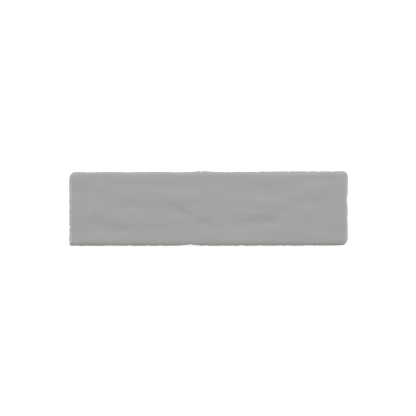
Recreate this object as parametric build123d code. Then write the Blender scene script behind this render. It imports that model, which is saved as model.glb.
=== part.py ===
from build123d import *
from math import cos, exp, hypot, pi, radians, sin, tan
import os

# A long, narrow wall tile of opaque glass, cast and fired as one piece.
# It lies face up: +X along its length, +Y across its width, +Z out of the face, back on Z = 0.
# All sizes are millimetres, and angles are degrees.
length = 300.0
width = 80.5
thickness = 8.0

# The four corners of the outline are rounded by hand, each one differently.
# Front is the long side towards -Y, and right is the end towards +X.
corner_front_left = 3.0
corner_front_right = 9.0
corner_back_right = 4.0
corner_back_left = 6.5

# Two of them stand a little inside the nominal width, so neither long side is quite square.
front_right_inset = 0.4
back_left_inset = 1.0

# The face falls away near its edge, faster and faster, and then rolls over into the side.
fall_depth = 2.0
fall_width = 7.5
fall_power = 3
arris_radius = 2.0

# The roll takes no more than this share of the tightest corner.
roll_share = 0.9

# The face lies this far below the full thickness, but for the crests that the strokes raise.
stroke_room = 0.32

# The sides lean in towards the underside, which ends in a small bevel.
side_draft = 3.0
underside_bevel = 0.5

# Long shallow waves of the face: wavelength, heading, height from trough to crest, and how far
# along its heading one crest lies.
waves = ((62.0, 90.0, 0.16, 4.0), (118.0, 14.0, 0.16, 30.0), (74.0, -38.0, 0.12, 0.0))

# Strokes pressed into the face by hand: place along X and Y, half length, width, turn, and height.
# A stroke is a slope between a crest on its +Y side and a hollow on its -Y side.
# A negative height puts the crest on the other side.
strokes = (
    (57.0, -10.4, 17.0, 4.5, 2.0, 0.4),
    (-32.0, 1.0, 13.0, 4.5, -22.0, 0.29),
    (-78.0, 5.8, 15.0, 4.5, -2.0, 0.22),
    (-103.0, -17.0, 16.0, 5.0, -10.0, 0.29),
    (-3.0, -10.6, 11.0, 4.5, 4.0, 0.24),
    (67.0, 26.0, 22.0, 5.0, 0.0, 0.14),
    (112.0, 13.5, 10.0, 6.5, 0.0, 0.26),
    (-122.0, -8.5, 10.0, 6.5, 30.0, 0.41),
    (62.0, 8.2, 15.0, 6.5, 0.0, -0.27),
    (56.0, -23.0, 24.0, 4.5, 6.0, -0.14),
    (-40.0, 19.5, 17.0, 4.5, -5.0, -0.18),
)

# Where each side wanders inwards: place as a share of the side, reach to either hand, and depth.
# A negative depth swells outwards. The sides are followed anticlockwise, each from where the one
# before it ends.
front_wander = ((0.12, 26.0, 0.12), (0.38, 30.0, 0.15), (0.445, 14.0, 1.05), (0.62, 24.0, -0.10))
right_wander = ((0.38, 24.0, 0.15), (0.60, 11.0, 0.70))
back_wander = ((0.05, 16.0, 0.10), (0.35, 14.0, 0.40), (0.43, 18.0, 0.40), (0.525, 14.0, -0.55),
               (0.605, 20.0, 0.45), (0.80, 14.0, 0.45), (0.95, 16.0, 0.15))
left_wander = ((0.30, 20.0, 0.12), (0.72, 18.0, 0.20))

# A side runs straight into its corners over this length, and has a point at about every step.
wander_ramp = 10.0
wander_step = 4.0

# Shallow drafted pockets in the underside key the tile to its adhesive.
# They stand in rows inside a flat rim, with ribs between them.
key_depth = 0.8
key_draft = 20.0
key_pitch = 24.0
key_rib = 4.0
key_rim = 7.0

# The face is cut by a smooth surface, laid through a grid of points that reaches past the tile.
# Its points stand closer where the face falls away.
face_step = 4.0
edge_step = 2.0
face_reach = 4.0
face_tolerance = 0.001

# The blank stands this far above the face before it is cut.
headroom = 1.0


def ease(share):
    """0 to 1 with level ends, held outside that range."""
    share = min(max(share, 0.0), 1.0)
    return share * share * (3 - 2 * share)


def wander(bumps, run, total):
    """How far inside its straight line a side of this length lies, this far along it."""
    depth = sum(deep * ease(1 - abs(run - place * total) / reach) for place, reach, deep in bumps)
    return depth * ease(run / wander_ramp) * ease((total - run) / wander_ramp)


def side(start, end, heading, bumps):
    """One wandering side, which leaves and meets its corners along this heading."""
    reach = end - start
    total = reach.length
    inward = heading.rotate(Axis.Z, 90)
    count = max(6, round(total / wander_step))
    points = []
    for step in range(count + 1):
        share = step / count
        points.append(start + reach * share + inward * wander(bumps, total * share, total))
    return Spline(*points, tangents=[heading, heading])


def outline(height, inset):
    """The tile's outline at this height, this far inside its nominal size."""
    x, y = length / 2 - inset, width / 2 - inset
    corners = (
        (Vector(-x, -y, height), corner_front_left - inset, -135),
        (Vector(x, front_right_inset - y, height), corner_front_right - inset, -45),
        (Vector(x, y, height), corner_back_right - inset, 45),
        (Vector(-x, y - back_left_inset, height), corner_back_left - inset, 135),
    )
    arcs = []
    for corner, radius, heading in corners:
        outward = Vector(cos(radians(heading)), sin(radians(heading)))
        centre = corner - outward * radius * 2**0.5
        arcs.append([centre + outward.rotate(Axis.Z, turn) * radius for turn in (-45, 0, 45)])
    edges = []
    for index, bumps in enumerate((front_wander, right_wander, back_wander, left_wander)):
        here, there = arcs[index], arcs[(index + 1) % 4]
        heading = Vector(1, 0).rotate(Axis.Z, 90 * index)
        edges.append(side(here[2], there[0], heading, bumps))
        edges.append(ThreePointArc(*there))
    return Wire(edges)


def blank():
    """The drafted block that the tile is cut from, at its nominal size where the roll springs."""
    spring = thickness - fall_depth - arris_radius
    top = thickness + headroom
    lean = tan(radians(side_draft))
    sections = (
        outline(0, spring * lean + underside_bevel),
        outline(underside_bevel, (spring - underside_bevel) * lean),
        outline(top, (spring - top) * lean),
    )
    return Solid.make_loft(sections, ruled=True)


def keying():
    """The pockets of the underside, with an even number of columns so that a rib is central."""
    columns = 2 * max(1, round((length - 2 * key_rim + key_rib) / key_pitch / 2))
    rows = max(1, round((width - 2 * key_rim + key_rib) / key_pitch))
    pitch_x = (length - 2 * key_rim + key_rib) / columns
    pitch_y = (width - 2 * key_rim + key_rib) / rows
    mouth = Rectangle(pitch_x - key_rib, pitch_y - key_rib)
    pocket = extrude(mouth, amount=key_depth, taper=key_draft)
    return [place * pocket for place in GridLocations(pitch_x, pitch_y, columns, rows)]


def wave_sink(x, y):
    """How far the long waves lie below their crests."""
    sink = 0.0
    for span, heading, height, crest in waves:
        travel = x * cos(radians(heading)) + y * sin(radians(heading)) - crest
        sink += height * (1 - cos(2 * pi * travel / span)) / 2
    return sink


def stroke_rise(x, y):
    """How far the strokes lift the face, or lower it."""
    rise = 0.0
    for place_x, place_y, half_length, breadth, turn, height in strokes:
        heading = radians(turn)
        along = (x - place_x) * cos(heading) + (y - place_y) * sin(heading)
        across = ((y - place_y) * cos(heading) - (x - place_x) * sin(heading)) / breadth
        rise += height * across * exp((1 - across**2) / 2 - (along / half_length) ** 4)
    return rise


def face_height(x, y):
    """Height of the face: its waves and strokes, and its fall towards the edge."""
    near_x = max(0.0, 1 - (length / 2 - abs(x)) / fall_width)
    near_y = max(0.0, 1 - (width / 2 - abs(y)) / fall_width)
    fall = fall_depth * hypot(near_x**fall_power, near_y**fall_power)
    return thickness - stroke_room - wave_sink(x, y) + stroke_rise(x, y) - fall


def grid_places(half):
    """Places from -half to half and on past both: close together at the edges, wider between."""
    outer, inner = half + face_reach, half - fall_width
    edge_count = round((outer - inner) / edge_step)
    inner_count = round(2 * inner / face_step)
    edge = [inner + (outer - inner) * step / edge_count for step in range(1, edge_count + 1)]
    middle = [inner * (2 * step / inner_count - 1) for step in range(inner_count + 1)]
    return [-place for place in reversed(edge)] + middle + edge


def above_face():
    """What lies above the face, as a solid to cut away."""
    places_x, places_y = grid_places(length / 2), grid_places(width / 2)
    points = [[Vector(x, y, face_height(x, y)) for y in places_y] for x in places_x]
    surface = Face.make_surface_from_array_of_points(points, tol=face_tolerance)
    return Solid.extrude(surface, Vector(0, 0, thickness))


def tile():
    """The whole tile: blank, pockets, face, and the roll all round the face."""
    body = blank() - keying() - above_face()
    rim = body.faces().sort_by(Axis.Z)[-1].outer_wire().edges()
    corners = (corner_front_left, corner_front_right, corner_back_right, corner_back_left)
    return fillet(rim, min(arris_radius, roll_share * min(corners)))


os.makedirs("parts", exist_ok=True)
export_step(tile(), "parts/tile.step")
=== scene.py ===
from math import cos, pi, radians, sin, tan

import bpy
import numpy as np
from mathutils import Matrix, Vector, noise

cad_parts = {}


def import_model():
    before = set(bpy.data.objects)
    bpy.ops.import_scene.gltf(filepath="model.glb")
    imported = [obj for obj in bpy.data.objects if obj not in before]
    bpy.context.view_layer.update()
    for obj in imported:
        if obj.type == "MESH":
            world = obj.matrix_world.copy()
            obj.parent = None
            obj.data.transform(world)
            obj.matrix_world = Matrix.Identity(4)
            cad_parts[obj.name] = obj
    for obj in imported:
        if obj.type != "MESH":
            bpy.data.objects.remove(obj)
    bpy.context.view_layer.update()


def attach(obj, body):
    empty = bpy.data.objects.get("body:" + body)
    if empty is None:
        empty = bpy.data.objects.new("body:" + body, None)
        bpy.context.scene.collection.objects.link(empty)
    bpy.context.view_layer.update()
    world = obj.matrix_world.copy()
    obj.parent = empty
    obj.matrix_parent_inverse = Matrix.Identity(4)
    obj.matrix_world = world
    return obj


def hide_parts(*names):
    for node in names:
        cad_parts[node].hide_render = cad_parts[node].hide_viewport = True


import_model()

# The tile lies face up on the floor: +X along its length, +Y across it, back on Z = 0.
# Front is the long side towards -Y, and right is the end towards +X.
# All lengths are in millimetres unless a comment says metres, and angles are in degrees.
# The mesh and the camera are scaled to metres at the end.
MM = 0.001

# Nominal sizes of the solid, repeated from the part.
LENGTH = 300.0
WIDTH = 80.5
THICKNESS = 8.0
HALF_X = LENGTH / 2
HALF_Y = WIDTH / 2

# Corner radii, by the sign of X and the sign of Y, and how far inside the width two corners are.
# The back right corner is worn rounder than the solid's 4.0.
CORNERS = {(-1, -1): 3.0, (1, -1): 9.0, (1, 1): 5.7, (-1, 1): 6.5}
FRONT_RIGHT_INSET = 0.4
BACK_LEFT_INSET = 1.0

# The face falls towards its edge, then rolls over into the side. It lies this far below the full
# thickness, but for the crests that the strokes raise.
FALL_DEPTH = 2.0
FALL_WIDTH = 7.5
FALL_POWER = 3
ROLL = 2.0
STROKE_ROOM = 0.32

# The sides begin at this height, lean in towards the underside and end in a small bevel.
SPRING = THICKNESS - FALL_DEPTH - ROLL
SIDE_LEAN = tan(radians(3.0))
UNDERSIDE_BEVEL = 0.5

# Long waves of the face: wavelength, heading, height from trough to crest, and how far along its
# heading one crest lies.
WAVES = ((62.0, 90.0, 0.16, 4.0), (118.0, 14.0, 0.16, 30.0), (74.0, -38.0, 0.12, 0.0))

# Strokes pressed into the face by hand: X, Y, half length, breadth, turn and height.
# A stroke is a slope between a crest on its +Y side and a hollow on its -Y side.
# A negative height puts the crest on the other side.
STROKES = (
    (57.0, -10.4, 17.0, 4.5, 2.0, 0.40),
    (-32.0, 1.0, 13.0, 4.5, -22.0, 0.29),
    (-78.0, 5.8, 15.0, 4.5, -2.0, 0.22),
    (-103.0, -17.0, 16.0, 5.0, -10.0, 0.29),
    (-3.0, -10.6, 11.0, 4.5, 4.0, 0.24),
    (67.0, 26.0, 22.0, 5.0, 0.0, 0.14),
    (112.0, 13.5, 10.0, 6.5, 0.0, 0.26),
    (-122.0, -8.5, 10.0, 6.5, 30.0, 0.41),
    (62.0, 8.2, 15.0, 6.5, 0.0, -0.27),
    (56.0, -23.0, 24.0, 4.5, 6.0, -0.14),
    (-40.0, 19.5, 17.0, 4.5, -5.0, -0.18),
)

# Where the sides wander inwards: place as a share of the side, reach to either hand, and depth.
# A side runs straight into its corners over the ramp.
FRONT_WANDER = ((0.12, 26.0, 0.12), (0.38, 30.0, 0.15), (0.445, 14.0, 1.05), (0.62, 24.0, -0.10))
RIGHT_WANDER = ((0.38, 24.0, 0.15), (0.60, 11.0, 0.70))
BACK_WANDER = ((0.05, 16.0, 0.10), (0.35, 14.0, 0.40), (0.43, 18.0, 0.40), (0.525, 14.0, -0.55),
               (0.605, 20.0, 0.45), (0.80, 14.0, 0.45), (0.95, 16.0, 0.15))
LEFT_WANDER = ((0.30, 20.0, 0.12), (0.72, 18.0, 0.20))
WANDER_RAMP = 10.0

# The wander holds through the rolled edge and dies away towards the middle of the face.
WANDER_HOLD = 3.0
WANDER_REACH = 25.0

# Keying pockets of the underside: their rows and columns, the rim round them and the rib between.
KEY_DEPTH = 0.8
KEY_DRAFT = 20.0
KEY_RIB = 4.0
KEY_RIM = 7.0
KEY_COLUMNS = 12
KEY_ROWS = 3

# Relief that the solid lacks is worked into a face this far below the solid's.
# It starts this far in from the outline, and is whole this much further in.
RELIEF_ROOM = 0.28
RELIEF_START = 0.5
RELIEF_EASE = 3.0

# Broad soft strokes, in the same terms as the solid's. The first nine are a fitting program's
# strokes, nudged. The last four were read off the difference from the photograph.
BROAD_STROKES = (
    (68.0, 14.0, 20.0, 9.0, 5.0, -0.36),
    (-5.0, 22.0, 28.0, 7.0, 0.0, -0.24),
    (-56.0, 18.0, 16.0, 5.0, 0.0, -0.18),
    (-125.0, 30.0, 16.0, 6.0, 0.0, -0.24),
    (125.0, 19.0, 14.0, 8.0, -10.0, -0.36),
    (-116.0, -19.0, 22.0, 7.0, -5.0, 0.20),
    (-65.0, -15.0, 22.0, 7.0, 0.0, 0.23),
    (36.0, -13.0, 15.0, 8.0, -10.0, 0.30),
    (84.0, -15.0, 18.0, 8.0, 15.0, -0.25),
    (115.0, -2.0, 20.0, 5.0, 0.0, -0.14),
    (-23.0, 5.0, 16.0, 7.0, 0.0, 0.18),
    (-115.0, -1.0, 17.0, 5.0, 0.0, 0.12),
    (70.0, 9.0, 13.0, 5.0, 0.0, -0.12),
)

# Finer strokes that lie on them.
FINE_STROKES = (
    (-57.0, 5.6, 7.0, 3.5, 0.0, 0.12),
    (-82.0, 6.0, 7.0, 2.8, 0.0, 0.08),
    (-46.0, 6.0, 6.0, 3.4, -10.0, 0.11),
    (-24.0, -2.2, 6.0, 2.6, -24.0, 0.08),
    (-13.0, 10.0, 7.0, 3.2, 15.0, 0.14),
    (-124.0, -10.5, 7.0, 4.0, 55.0, 0.16),
    (-97.0, -17.5, 9.0, 4.5, -10.0, -0.12),
    (-96.0, -18.5, 8.0, 3.0, -8.0, 0.10),
    (-67.0, -19.4, 20.0, 4.5, 0.0, 0.10),
    (-8.0, -12.4, 8.0, 3.2, 16.0, 0.13),
    (9.0, -13.0, 6.0, 3.6, -16.0, -0.13),
    (64.0, -10.0, 8.0, 3.2, 0.0, 0.10),
    (81.0, -10.2, 4.5, 4.5, 0.0, -0.12),
    (41.0, -13.0, 12.0, 3.6, 14.0, 0.11),
    (-132.0, 24.7, 6.0, 3.6, 70.0, 0.12),
    (-114.0, 21.0, 8.0, 3.2, 0.0, 0.12),
    (-31.0, 31.0, 14.0, 3.6, 0.0, 0.08),
    (92.0, 11.0, 9.0, 3.6, 0.0, 0.10),
    (109.0, 2.0, 6.0, 4.2, 0.0, -0.17),
    (-1.0, -22.7, 14.0, 3.6, 0.0, -0.11),
    (125.0, 27.0, 11.0, 4.5, -22.0, -0.17),
    (36.0, 3.2, 8.0, 3.6, 0.0, -0.10),
    (-103.0, -29.0, 18.0, 4.2, 0.0, -0.13),
    (-65.0, -13.0, 9.0, 3.6, 0.0, -0.08),
    (118.0, -5.4, 12.0, 4.0, 0.0, -0.08),
    (139.0, -31.0, 6.0, 4.5, 0.0, -0.14),
)

# Ripples left by the hand smoothing, drawn out along the tile: length, width, depth and seed.
RIPPLES = ((38.0, 11.0, 0.110, 3.5), (14.0, 5.0, 0.022, 13.5))

# Small lumps of the outline, always inwards: size and depth. They reach this far in over the face.
# The ends are rougher than the long sides by a share, and the underside keeps a share of them.
LUMPS = ((8.0, 0.70), (2.6, 0.70))
LUMP_SEED = 53.0
LUMP_REACH = 3.0
END_ROUGHER = 0.3
LUMPS_KEPT = 0.5

# Dents in the sides, deepest at mid height.
DENT_LENGTH = 6.0
DENT_HEIGHT = 2.2
DENT_DEPTH = 0.35
DENT_SEED = 90.0

# Mesh lines: rows round the roll and down the sides, and about how far apart lines are elsewhere.
# An edge sharper than the angle is shaded as an edge.
ROLL_ROWS = 9
SIDE_ROWS = 6
STEP = 1.0
SHARP_ANGLE = 28.0

# The underside follows the outline less and less, up to this margin outside the pockets.
# Points further out than the pockets by more than the slack stay flat.
RIM_MARGIN = 0.5
POCKET_SLACK = 0.1

# The glass: its grey wanders between two values, and the roughness of its face between two more.
# The sides and the back have one roughness. Scales of noise are per metre.
GREYS = (0.320, 0.342)
GREY_STOPS = (0.3, 0.7)
STREAK_SCALE = (22.0, 120.0, 120.0)
SKIN_ROUGHNESS = (0.56, 0.68)
SKIN_SCALE = 90.0
BACK_ROUGHNESS = 0.62
GRAIN_SCALE = 900.0
GRAIN_HEIGHT = 0.06
REFRACTION = 1.5

# The floor reaches this many metres to every side, and glows by the lift to the camera alone.
FLOOR_REACH = 3.0
FLOOR_COLOR = (0.80, 0.775, 0.74, 1)
FLOOR_LIFT = 0.66

# The glow and the light from all round are white. That light makes a level white face this bright.
WHITE = (1, 1, 1, 1)
AMBIENT = 0.11

# Broad distant lamps: name, how bright each makes a level white face, azimuth from the back by way
# of the right, elevation, width, colour, and whether it gives glare.
LAMPS = (
    ("key", 0.570, 0, 47, 30, (0.988, 0.993, 1.0), True),
    ("left", 0.155, -90, 8, 12, (0.980, 0.989, 1.0), False),
    ("right", 0.155, 90, 8, 12, (0.980, 0.989, 1.0), False),
    ("fill", 0.036, 180, 8, 14, (1.0, 0.77, 0.60), False),
)

# The photograph's framing: the tile's middle is at this pixel of a square frame.
IMAGE_SIDE = 416
TILE_PIXEL_X = 208.54
TILE_PIXEL_Y = 208.47
PIXELS_PER_MM = 0.9350
LENS = 110.0
SENSOR = 36.0


def ease(share):
    """0 to 1 with level ends, held outside that range."""
    share = np.clip(share, 0.0, 1.0)
    return share * share * (3 - 2 * share)


def field(points, size, seed):
    """Smooth noise from -1 to 1 at points in the plane, with lumps of this size along X and Y."""
    along, across = size
    values = [noise.noise(Vector((x / along, y / across, seed))) for x, y in points.reshape(-1, 2)]
    return np.array(values).reshape(points.shape[:-1])


def spread(marks, step):
    """These lines, with evenly spaced ones between them no further apart than about a step."""
    lines = [marks[0]]
    for low, high in zip(marks, marks[1:]):
        count = max(1, round((high - low) / step))
        lines += [low + (high - low) * k / count for k in range(1, count + 1)]
    return lines


def key_pitch(half, pockets):
    """From the middle of one pocket to the next, with this many across."""
    return (2 * half - 2 * KEY_RIM + KEY_RIB) / pockets


def key_wall():
    """How wide a pocket's drafted wall is in plan."""
    return KEY_DEPTH * tan(radians(KEY_DRAFT))


def grid_lines(half, pockets):
    """Lines across one way: rows round the rolled edge, and lines on every pocket's edges."""
    roll = [ROLL * (1 - cos(pi / 2 * k / ROLL_ROWS)) for k in range(ROLL_ROWS + 1)]
    pitch = key_pitch(half, pockets)
    mouth = (pitch - KEY_RIB) / 2
    marks = []
    for k in range(pockets):
        middle = (k - (pockets - 1) / 2) * pitch
        marks += [middle - mouth, middle - mouth + key_wall()]
        marks += [middle + mouth - key_wall(), middle + mouth]
    inner = spread([-half + ROLL] + marks + [half - ROLL], STEP)
    edge = [half - inset for inset in roll[:-1]]
    return np.array([-place for place in edge] + inner + edge[::-1])


def square_net():
    """Points where the lines cross, up to a square outline."""
    lines_x = grid_lines(HALF_X, KEY_COLUMNS)
    lines_y = grid_lines(HALF_Y, KEY_ROWS)
    return np.stack(np.meshgrid(lines_x, lines_y, indexing="ij"), axis=-1)


def round_corners(net):
    """Turns the square corners of the net into quarter discs, keeping each line's distance in."""
    x, y = net[..., 0], net[..., 1]
    round_x, round_y = x.copy(), y.copy()
    for (sign_x, sign_y), radius in CORNERS.items():
        past_x = sign_x * x - (HALF_X - radius)
        past_y = sign_y * y - (HALF_Y - radius)
        near = (past_x > 0) & (past_y > 0)
        reach = np.maximum(past_x, past_y)
        turn = pi / 4 * np.minimum(past_x, past_y) / np.where(near, reach, 1)
        along, across = reach * np.cos(turn), reach * np.sin(turn)
        out_x = np.where(past_x >= past_y, along, across) + HALF_X - radius
        out_y = np.where(past_x >= past_y, across, along) + HALF_Y - radius
        round_x = np.where(near, sign_x * out_x, round_x)
        round_y = np.where(near, sign_y * out_y, round_y)
    return np.stack([round_x, round_y], axis=-1)


def outward(rounded):
    """The outline's outward direction nearest to each point of the rounded net."""
    x, y = rounded[..., 0], rounded[..., 1]
    east = np.where(HALF_X - np.abs(x) < HALF_Y - np.abs(y), np.sign(x), 0.0)
    north = np.where(east == 0, np.sign(y), 0.0)
    for (sign_x, sign_y), radius in CORNERS.items():
        past_x = sign_x * x - (HALF_X - radius)
        past_y = sign_y * y - (HALF_Y - radius)
        near = (past_x > 0) & (past_y > 0)
        size = np.where(near, np.hypot(past_x, past_y), 1)
        east = np.where(near, sign_x * past_x / size, east)
        north = np.where(near, sign_y * past_y / size, north)
    return np.stack([east, north], axis=-1)


def wander(bumps, run, total):
    """How far inside its straight line a side of this length lies, this far along it."""
    depth = 0
    for place, reach, deep in bumps:
        depth = depth + deep * ease(1 - np.abs(run - place * total) / reach)
    return depth * ease(run / WANDER_RAMP) * ease((total - run) / WANDER_RAMP)


def wander_shift(rounded, hold, reach):
    """How the wandering sides move each point: in full to the hold, and not at all past the reach."""
    def fade(distance):
        return ease((reach - distance) / (reach - hold))

    x, y = rounded[..., 0], rounded[..., 1]
    front = CORNERS[-1, -1], CORNERS[1, -1]
    right = CORNERS[1, -1], CORNERS[1, 1]
    back = CORNERS[1, 1], CORNERS[-1, 1]
    left = CORNERS[-1, 1], CORNERS[-1, -1]
    front_run = x + HALF_X - front[0]
    back_run = HALF_X - back[0] - x
    front_depth = wander(FRONT_WANDER, front_run, LENGTH - sum(front))
    front_depth += FRONT_RIGHT_INSET * np.clip(front_run / (LENGTH - sum(front)), 0, 1)
    back_depth = wander(BACK_WANDER, back_run, LENGTH - sum(back))
    back_depth += BACK_LEFT_INSET * np.clip(back_run / (LENGTH - sum(back)), 0, 1)
    north = front_depth * fade(y + HALF_Y) - back_depth * fade(HALF_Y - y)
    east = wander(LEFT_WANDER, HALF_Y - left[0] - y, WIDTH - sum(left)) * fade(x + HALF_X)
    east -= wander(RIGHT_WANDER, y + HALF_Y - right[0], WIDTH - sum(right)) * fade(HALF_X - x)
    return np.stack([east, north], axis=-1)


def outline_lumps(rounded, out, distance):
    """How far the small lumps of the outline push each point inwards."""
    lumps = 0
    for size, deep in LUMPS:
        lumps = lumps + deep * np.maximum(field(rounded, (size, size), LUMP_SEED + size), 0)
    return lumps * (ease(1 - distance / LUMP_REACH) * (1 + END_ROUGHER * out[..., 0] ** 2))


def strokes(x, y, table):
    """How far these strokes lift the face, or lower it."""
    rise = np.zeros_like(x)
    for place_x, place_y, half_length, breadth, turn, high in table:
        angle = radians(turn)
        along = (x - place_x) * cos(angle) + (y - place_y) * sin(angle)
        across = ((y - place_y) * cos(angle) - (x - place_x) * sin(angle)) / breadth
        rise += high * across * np.exp((1 - across**2) / 2 - (along / half_length) ** 4)
    return rise


def face_height(x, y):
    """Height of the solid's face: its waves and strokes, and its fall towards the edge."""
    height = THICKNESS - STROKE_ROOM + strokes(x, y, STROKES)
    for span, heading, deep, crest in WAVES:
        travel = x * cos(radians(heading)) + y * sin(radians(heading)) - crest
        height -= deep * (1 - np.cos(2 * pi * travel / span)) / 2
    near_x = np.maximum(0.0, 1 - (HALF_X - np.abs(x)) / FALL_WIDTH)
    near_y = np.maximum(0.0, 1 - (HALF_Y - np.abs(y)) / FALL_WIDTH)
    return height - FALL_DEPTH * np.hypot(near_x**FALL_POWER, near_y**FALL_POWER)


def relief(points):
    """What the solid's smooth face lacks: the further strokes and the ripples."""
    height = strokes(points[..., 0], points[..., 1], BROAD_STROKES + FINE_STROKES)
    for along, across, deep, seed in RIPPLES:
        height += deep * field(points, (along, across), seed)
    return height


def face_points(rounded, out, distance, lumps):
    """The face with its relief and its rolled edge, out to where the sides begin."""
    points = rounded + wander_shift(rounded, WANDER_HOLD, WANDER_REACH) - out * lumps[..., None]
    inside = np.clip(ROLL - distance, 0, None)
    roll = ROLL - np.sqrt(np.maximum(ROLL**2 - inside**2, 0))
    height = face_height(points[..., 0], points[..., 1]) - RELIEF_ROOM - roll
    height += relief(points) * ease((distance - RELIEF_START) / RELIEF_EASE)
    return np.concatenate([points, height[..., None]], axis=-1)


def pockets(net, distance):
    """How far up each point of the underside lies in a keying pocket."""
    pitch_x = key_pitch(HALF_X, KEY_COLUMNS)
    pitch_y = key_pitch(HALF_Y, KEY_ROWS)
    from_x = np.abs((net[..., 0] / pitch_x + KEY_COLUMNS / 2) % 1 - 0.5) * pitch_x
    from_y = np.abs((net[..., 1] / pitch_y + KEY_ROWS / 2) % 1 - 0.5) * pitch_y
    inner = np.minimum((pitch_x - KEY_RIB) / 2 - from_x, (pitch_y - KEY_RIB) / 2 - from_y)
    rise = KEY_DEPTH * np.clip(inner / key_wall(), 0, 1)
    rise[distance < KEY_RIM - POCKET_SLACK] = 0
    return rise


def underside_points(net, rounded, out, distance, lumps):
    """The underside: a rim that follows the outline, round a straight grid of pockets."""
    rim = KEY_RIM - RIM_MARGIN
    keep = ease(1 - distance / rim)
    inset = SPRING * SIDE_LEAN + UNDERSIDE_BEVEL + LUMPS_KEPT * lumps
    points = net + keep[..., None] * (rounded - net - out * inset[..., None])
    points += wander_shift(rounded, 0.0, rim)
    return np.concatenate([points, pockets(net, distance)[..., None]], axis=-1)


def side_rings(top, out, lumps):
    """Rings of points down the sides, from below the rolled edge to above the bevel."""
    given_back = (1 - LUMPS_KEPT) * lumps
    rings = []
    for k in range(1, SIDE_ROWS + 1):
        share = k / SIDE_ROWS
        ring = top.copy()
        ring[:, 2] += (UNDERSIDE_BEVEL - top[:, 2]) * share
        level = DENT_SEED + (1 - share) * SPRING / DENT_HEIGHT
        dents = field(ring[:, :2], (DENT_LENGTH, DENT_LENGTH), level)
        inward = ((SPRING - UNDERSIDE_BEVEL) * SIDE_LEAN - given_back) * share
        inward += DENT_DEPTH * sin(pi * share) * np.maximum(dents, 0)
        ring[:, :2] -= out * inward[:, None]
        rings.append(ring)
    return rings


def boundary(grid):
    """The outermost points of a grid, once round anticlockwise from its first corner."""
    return np.concatenate([grid[:-1, 0], grid[-1, :-1], grid[:0:-1, -1], grid[0, :0:-1]])


def net_faces(count_x, count_y):
    """Faces of the top, the underside and the sides, over their points in that order."""
    size = count_x * count_y
    number = np.arange(size).reshape(count_x, count_y)
    quads = [number[:-1, :-1], number[1:, :-1], number[1:, 1:], number[:-1, 1:]]
    top = np.stack([corner.ravel() for corner in quads], axis=-1)
    edge = boundary(number)
    around = len(edge)
    levels = [edge]
    for k in range(SIDE_ROWS):
        levels.append(np.arange(around) + 2 * size + k * around)
    levels.append(edge + size)
    sides = []
    for upper, lower in zip(levels, levels[1:]):
        sides.append(np.stack([upper, lower, np.roll(lower, -1), np.roll(upper, -1)], axis=-1))
    return np.concatenate([top, top[:, ::-1] + size] + sides)


def tile_mesh():
    """Face, sides and underside as one closed mesh on one net of lines."""
    net = square_net()
    distance = np.minimum(HALF_X - np.abs(net[..., 0]), HALF_Y - np.abs(net[..., 1]))
    rounded = round_corners(net)
    out = outward(rounded)
    lumps = outline_lumps(rounded, out, distance)
    face = face_points(rounded, out, distance, lumps)
    under = underside_points(net, rounded, out, distance, lumps)
    rings = side_rings(boundary(face), boundary(out), boundary(lumps))

    vertices = np.concatenate([face.reshape(-1, 3), under.reshape(-1, 3)] + rings) * MM
    mesh = bpy.data.meshes.new("glass_tile")
    mesh.from_pydata(vertices.tolist(), [], net_faces(*distance.shape).tolist())
    mesh.validate()
    mesh.shade_smooth()
    mesh.set_sharp_from_angle(angle=radians(SHARP_ANGLE))
    polish = mesh.attributes.new("polish", "FLOAT", "POINT")
    worked = np.zeros(len(vertices), np.float32)
    worked[:distance.size] = 1.0
    polish.data.foreach_set("value", worked)
    return mesh


def node(tree, kind, **values):
    """Adds a shader node and sets its inputs by name and its other settings."""
    made = tree.nodes.new(kind)
    for name, value in values.items():
        label = name.replace("_", " ").title()
        if label in made.inputs:
            made.inputs[label].default_value = value
        else:
            setattr(made, name, value)
    return made


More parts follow.
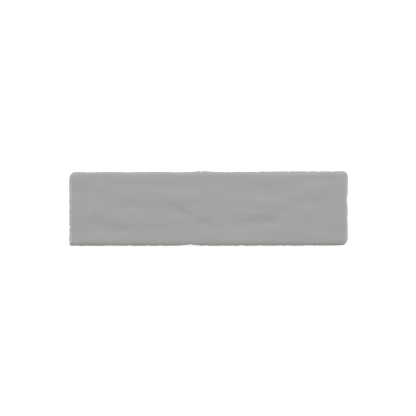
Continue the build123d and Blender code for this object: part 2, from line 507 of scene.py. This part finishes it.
def glass_material():
    """Opaque grey glass, faintly streaked, with a satin face and ground sides and back."""
    material = bpy.data.materials.new("opaque_glass")
    material.use_nodes = True
    tree = material.node_tree
    shader = tree.nodes["Principled BSDF"]
    shader.inputs["IOR"].default_value = REFRACTION
    place = node(tree, "ShaderNodeTexCoord")

    drawn_out = node(tree, "ShaderNodeMapping", scale=STREAK_SCALE)
    streaks = node(tree, "ShaderNodeTexNoise", scale=1.0, detail=2.0, roughness=0.45)
    tint = node(tree, "ShaderNodeValToRGB")
    for stop, position, grey in zip(tint.color_ramp.elements, GREY_STOPS, GREYS):
        stop.position = position
        stop.color = (grey, grey, grey, 1)
    tree.links.new(place.outputs["Object"], drawn_out.inputs["Vector"])
    tree.links.new(drawn_out.outputs["Vector"], streaks.inputs["Vector"])
    tree.links.new(streaks.outputs["Fac"], tint.inputs["Fac"])
    tree.links.new(tint.outputs["Color"], shader.inputs["Base Color"])

    clouds = node(tree, "ShaderNodeTexNoise", scale=SKIN_SCALE, detail=3.0)
    smooth, rough = SKIN_ROUGHNESS
    skin = node(tree, "ShaderNodeMapRange", to_min=smooth, to_max=rough)
    ground = node(tree, "ShaderNodeMix", data_type="FLOAT")
    ground.inputs["A"].default_value = BACK_ROUGHNESS
    polish = node(tree, "ShaderNodeAttribute", attribute_name="polish")
    tree.links.new(place.outputs["Object"], clouds.inputs["Vector"])
    tree.links.new(clouds.outputs["Fac"], skin.inputs["Value"])
    tree.links.new(polish.outputs["Fac"], ground.inputs["Factor"])
    tree.links.new(skin.outputs["Result"], ground.inputs["B"])
    tree.links.new(ground.outputs["Result"], shader.inputs["Roughness"])

    grain = node(tree, "ShaderNodeTexNoise", scale=GRAIN_SCALE, detail=3.0, roughness=0.6)
    bump = node(tree, "ShaderNodeBump", strength=0.25, distance=GRAIN_HEIGHT * MM)
    tree.links.new(place.outputs["Object"], grain.inputs["Vector"])
    tree.links.new(grain.outputs["Fac"], bump.inputs["Height"])
    tree.links.new(bump.outputs["Normal"], shader.inputs["Normal"])
    return material


def floor():
    """A plain pale floor: white to the camera, with the tile's soft shadow on it."""
    mesh = bpy.data.meshes.new("floor")
    corners = [(FLOOR_REACH * x, FLOOR_REACH * y, 0) for x, y in ((-1, -1), (1, -1), (1, 1), (-1, 1))]
    mesh.from_pydata(corners, [], [(0, 1, 2, 3)])
    plane = bpy.data.objects.new("floor", mesh)
    bpy.context.scene.collection.objects.link(plane)
    material = bpy.data.materials.new("pale_floor")
    material.use_nodes = True
    tree = material.node_tree
    tree.nodes.remove(tree.nodes["Principled BSDF"])
    output = tree.nodes["Material Output"]
    diffuse = node(tree, "ShaderNodeBsdfDiffuse", color=FLOOR_COLOR)
    glow = node(tree, "ShaderNodeEmission", color=WHITE)
    path = node(tree, "ShaderNodeLightPath")
    lift = node(tree, "ShaderNodeMath", operation="MULTIPLY")
    lift.inputs[1].default_value = FLOOR_LIFT
    both = node(tree, "ShaderNodeAddShader")
    tree.links.new(path.outputs["Is Camera Ray"], lift.inputs[0])
    tree.links.new(lift.outputs["Value"], glow.inputs["Strength"])
    tree.links.new(diffuse.outputs["BSDF"], both.inputs[0])
    tree.links.new(glow.outputs["Emission"], both.inputs[1])
    tree.links.new(both.outputs["Shader"], output.inputs["Surface"])
    mesh.materials.append(material)


def world():
    """Even light from all round, and plain white to the camera, in gloss and through glass."""
    scene_world = bpy.data.worlds.new("studio")
    scene_world.use_nodes = True
    bpy.context.scene.world = scene_world
    tree = scene_world.node_tree
    background = tree.nodes["Background"]
    background.inputs["Color"].default_value = WHITE
    path = node(tree, "ShaderNodeLightPath")
    seen = node(tree, "ShaderNodeMath", operation="MAXIMUM")
    either = node(tree, "ShaderNodeMath", operation="MAXIMUM")
    level = node(tree, "ShaderNodeMapRange", to_min=AMBIENT, to_max=1.0)
    tree.links.new(path.outputs["Is Camera Ray"], seen.inputs[0])
    tree.links.new(path.outputs["Is Glossy Ray"], seen.inputs[1])
    tree.links.new(seen.outputs["Value"], either.inputs[0])
    tree.links.new(path.outputs["Is Transmission Ray"], either.inputs[1])
    tree.links.new(either.outputs["Value"], level.inputs["Value"])
    tree.links.new(level.outputs["Result"], background.inputs["Strength"])


def lamp(name, level, azimuth, elevation, width, color, glare):
    """A distant lamp that makes a level white face this bright, with glare or without."""
    light = bpy.data.lights.new(name, "SUN")
    light.energy = level * pi / sin(radians(elevation))
    light.angle = radians(width)
    light.color = color
    holder = bpy.data.objects.new(name, light)
    holder.visible_glossy = glare
    holder.rotation_mode = "QUATERNION"
    turn, rise = radians(azimuth), radians(elevation)
    towards = Vector((sin(turn) * cos(rise), cos(turn) * cos(rise), sin(rise)))
    holder.rotation_quaternion = towards.to_track_quat("Z", "Y")
    bpy.context.scene.collection.objects.link(holder)


def camera():
    """Straight above the tile, framed as the photograph frames it."""
    data = bpy.data.cameras.new("camera")
    data.lens = LENS
    data.sensor_width = SENSOR
    holder = bpy.data.objects.new("camera", data)
    frame_width = IMAGE_SIDE / PIXELS_PER_MM
    across = (IMAGE_SIDE / 2 - TILE_PIXEL_X) / PIXELS_PER_MM
    up = (TILE_PIXEL_Y - IMAGE_SIDE / 2) / PIXELS_PER_MM
    height = THICKNESS + frame_width * LENS / SENSOR
    holder.location = (across * MM, up * MM, height * MM)
    bpy.context.scene.collection.objects.link(holder)
    bpy.context.scene.camera = holder


tile = bpy.data.objects.new("glass_tile", tile_mesh())
bpy.context.scene.collection.objects.link(tile)
tile.data.materials.append(glass_material())
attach(tile, "root")
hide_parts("tile")

floor()
world()
for values in LAMPS:
    lamp(*values)
camera()
bpy.context.scene.view_settings.view_transform = "Standard"
